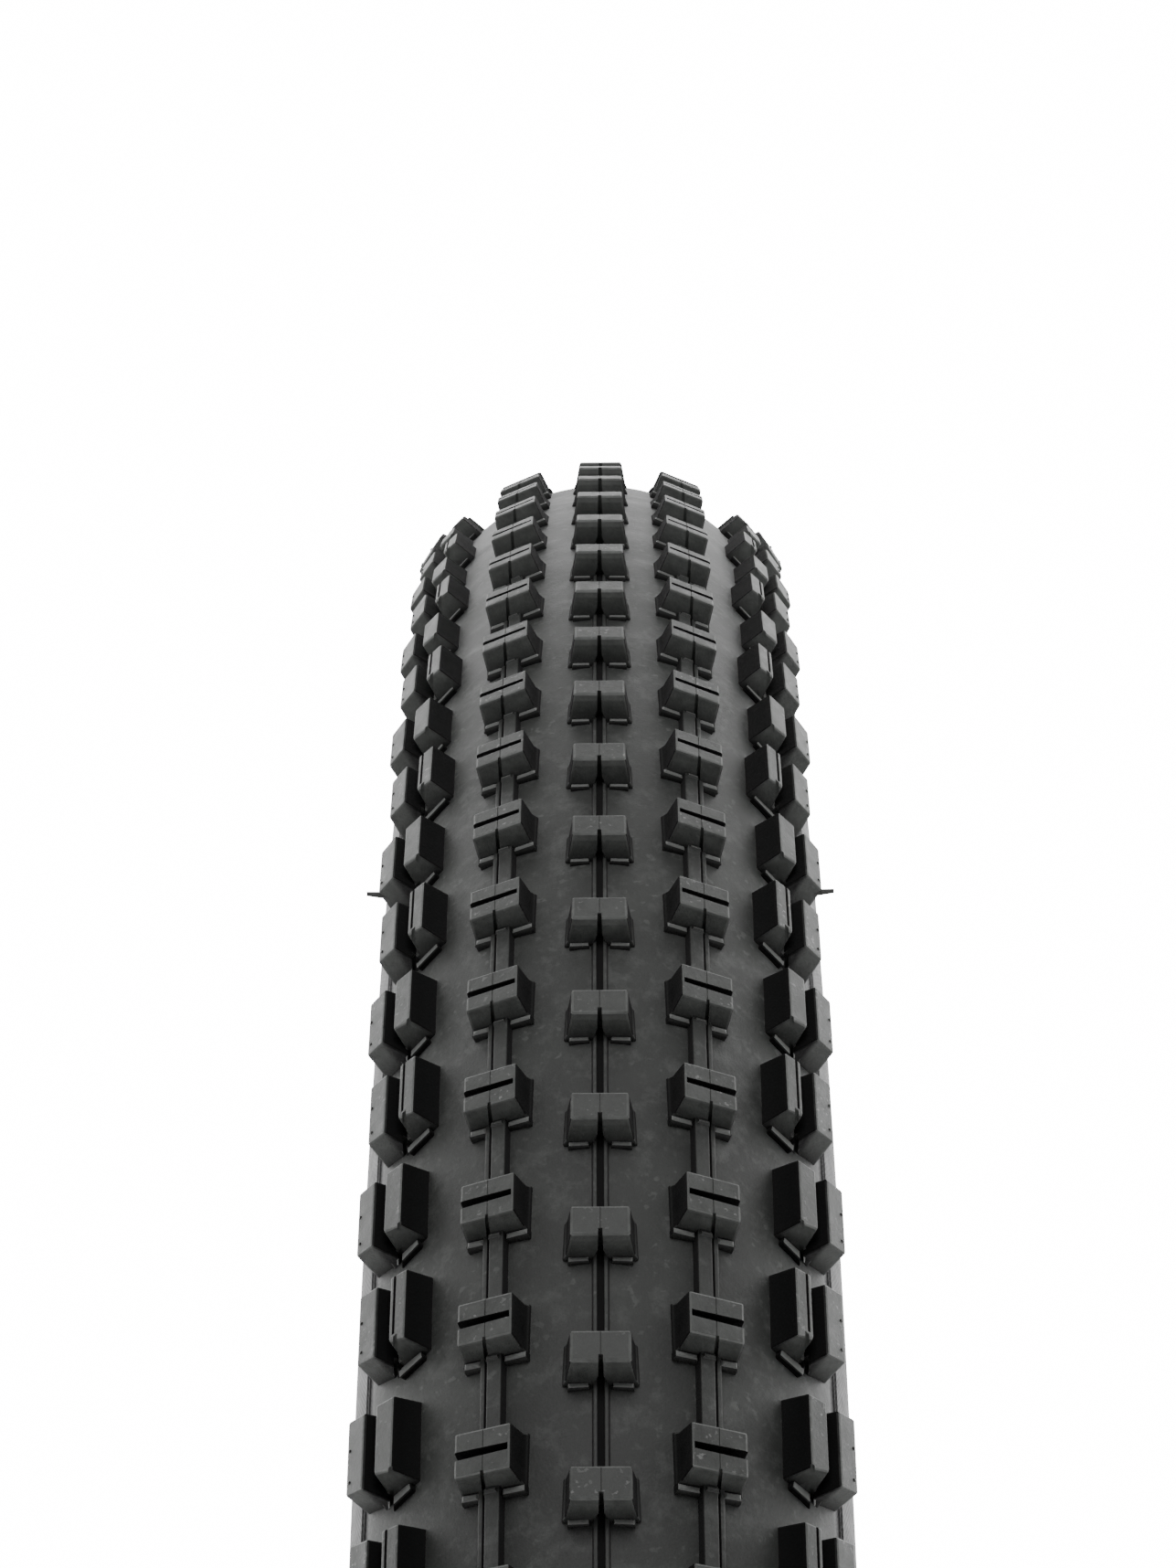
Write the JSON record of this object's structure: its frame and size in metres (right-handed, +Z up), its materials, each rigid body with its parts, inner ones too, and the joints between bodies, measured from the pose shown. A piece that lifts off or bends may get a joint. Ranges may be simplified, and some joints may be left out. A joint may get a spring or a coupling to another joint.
{
  "type": "bicycle tyre",
  "caption": "Knobbly tubeless-ready mountain bike tyre off the wheel, with layered casing, bead hoops and separate rows of centre, transition and shoulder knobs.",
  "frame": {"origin": "centre of the wheel, on the axle line midway between the two beads", "axes": "+Y along the axle towards the tyre's left side, +Z up, +X forward, the way the tyre rolls"},
  "size_m": [0.7456, 0.064, 0.7456],
  "materials": {
    "tread_rubber": "matt moulded tread rubber",
    "sidewall_rubber": "matt anthracite sidewall skin",
    "chafer_rubber": "satin smooth rubber",
    "filler_rubber": "hard matt rubber",
    "liner_rubber": "satin airtight liner with fabric print",
    "casing_fabric": "rubberised nylon cord",
    "breaker_fabric": "woven aramid and nylon",
    "bead_aramid": "twisted aramid yarn"
  },
  "bodies": {
    "root": {"inner_liner": "liner_rubber", "casing_ply_inner": "casing_fabric", "casing_ply_outer": "casing_fabric", "bead_core_left": "bead_aramid", "bead_core_right": "bead_aramid", "bead_filler_left": "filler_rubber", "bead_filler_right": "filler_rubber", "chafer_left": "chafer_rubber", "chafer_right": "chafer_rubber", "puncture_breaker": "breaker_fabric", "undertread": "tread_rubber", "sidewall_skin_left": "sidewall_rubber", "sidewall_skin_right": "sidewall_rubber", "centre_knobs": "tread_rubber", "transition_knobs_left": "tread_rubber", "transition_knobs_right": "tread_rubber", "siped_shoulder_knobs_left": "tread_rubber", "siped_shoulder_knobs_right": "tread_rubber", "plain_shoulder_knobs_left": "tread_rubber", "plain_shoulder_knobs_right": "tread_rubber", "centre_tie_ribs": "tread_rubber", "transition_tie_ribs_left": "tread_rubber", "transition_tie_ribs_right": "tread_rubber", "vent_hairs": "tread_rubber"}
  },
  "joints": []
}
